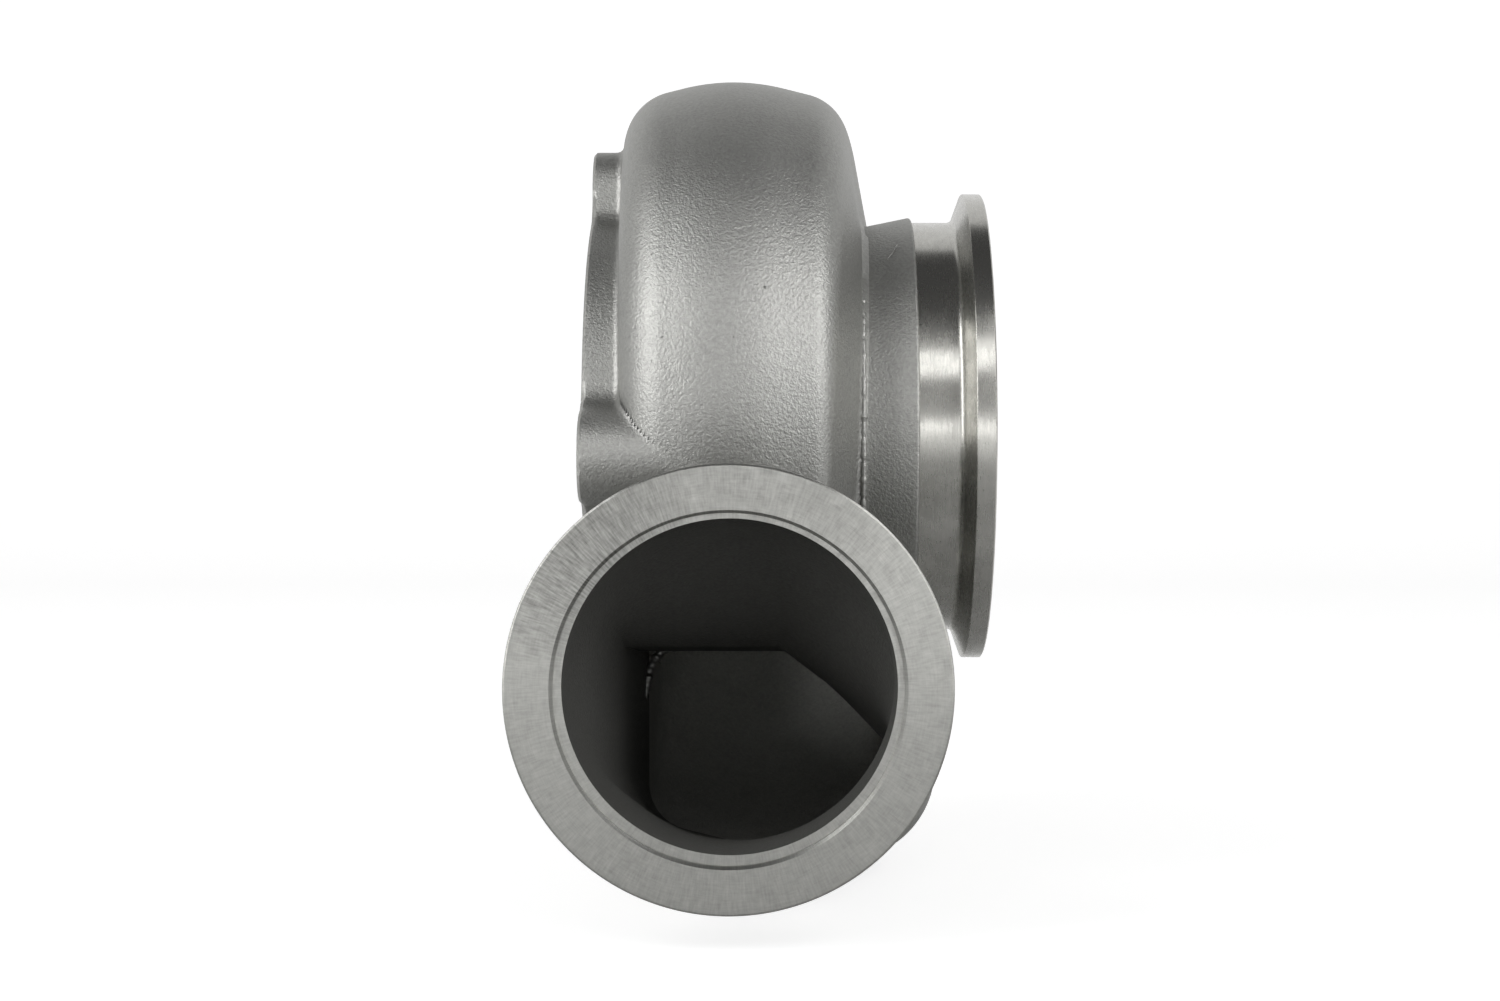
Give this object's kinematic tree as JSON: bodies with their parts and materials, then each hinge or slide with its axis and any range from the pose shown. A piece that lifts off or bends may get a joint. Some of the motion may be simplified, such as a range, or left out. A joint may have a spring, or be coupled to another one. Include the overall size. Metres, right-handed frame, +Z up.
{
  "type": "turbocharger turbine housing",
  "caption": "Cast stainless scroll housing for a turbocharger turbine, with clamp-flanged gas inlet and outlet and a lobed face for the centre housing.",
  "frame": {"origin": "centre of the face that bolts to the centre housing, on the turbine axis", "axes": "+X along the turbine axis towards the gas outlet, -Y out of the gas inlet, +Z up as fitted with the inlet low"},
  "size_m": [0.1013, 0.1872, 0.1848],
  "materials": {
    "cast_stainless": "shot-blasted investment casting",
    "turned_stainless": "turned faces and bores"
  },
  "bodies": {
    "root": {"turbine_housing": "cast_stainless"}
  },
  "joints": []
}
